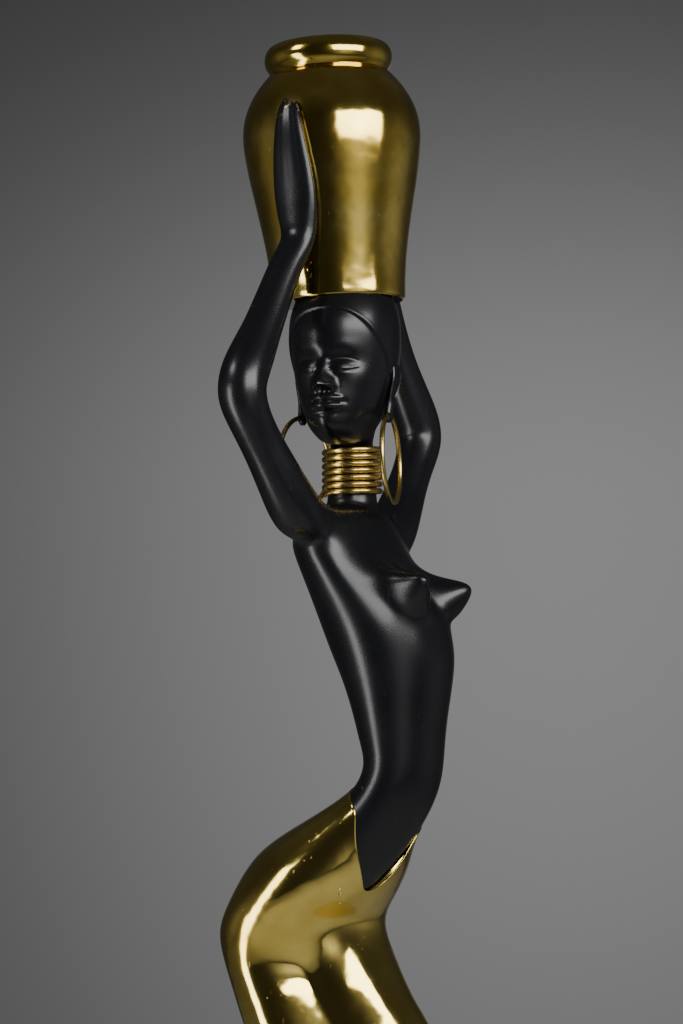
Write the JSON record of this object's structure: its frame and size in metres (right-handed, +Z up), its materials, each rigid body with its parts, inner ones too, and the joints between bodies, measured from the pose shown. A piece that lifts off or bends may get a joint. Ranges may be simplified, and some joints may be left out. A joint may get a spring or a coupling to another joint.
{
  "type": "standing female figure sculpture with a jar on its head",
  "caption": "Slender standing woman in black patina and a tight brass skirt, holding a tall brass jar on her head with both raised hands, with a coiled brass neck ring and hoop earrings.",
  "frame": {"origin": "centre of the round base's underside", "axes": "+Z up; the front of the work, as pictured, faces -Y, with +X to the viewer's right"},
  "size_m": [0.28, 0.3169, 1.4906],
  "materials": {
    "black_patina": "satin",
    "polished_brass": "polished",
    "wire_brass": "polished",
    "base_black": "satin"
  },
  "bodies": {
    "root": {"figure": "black_patina", "jar": "polished_brass", "skirt": "polished_brass", "neck_coil": "wire_brass", "left_hoop_earring": "wire_brass", "right_hoop_earring": "wire_brass", "left_foot": "black_patina", "right_foot": "black_patina", "base": "base_black"}
  },
  "joints": []
}
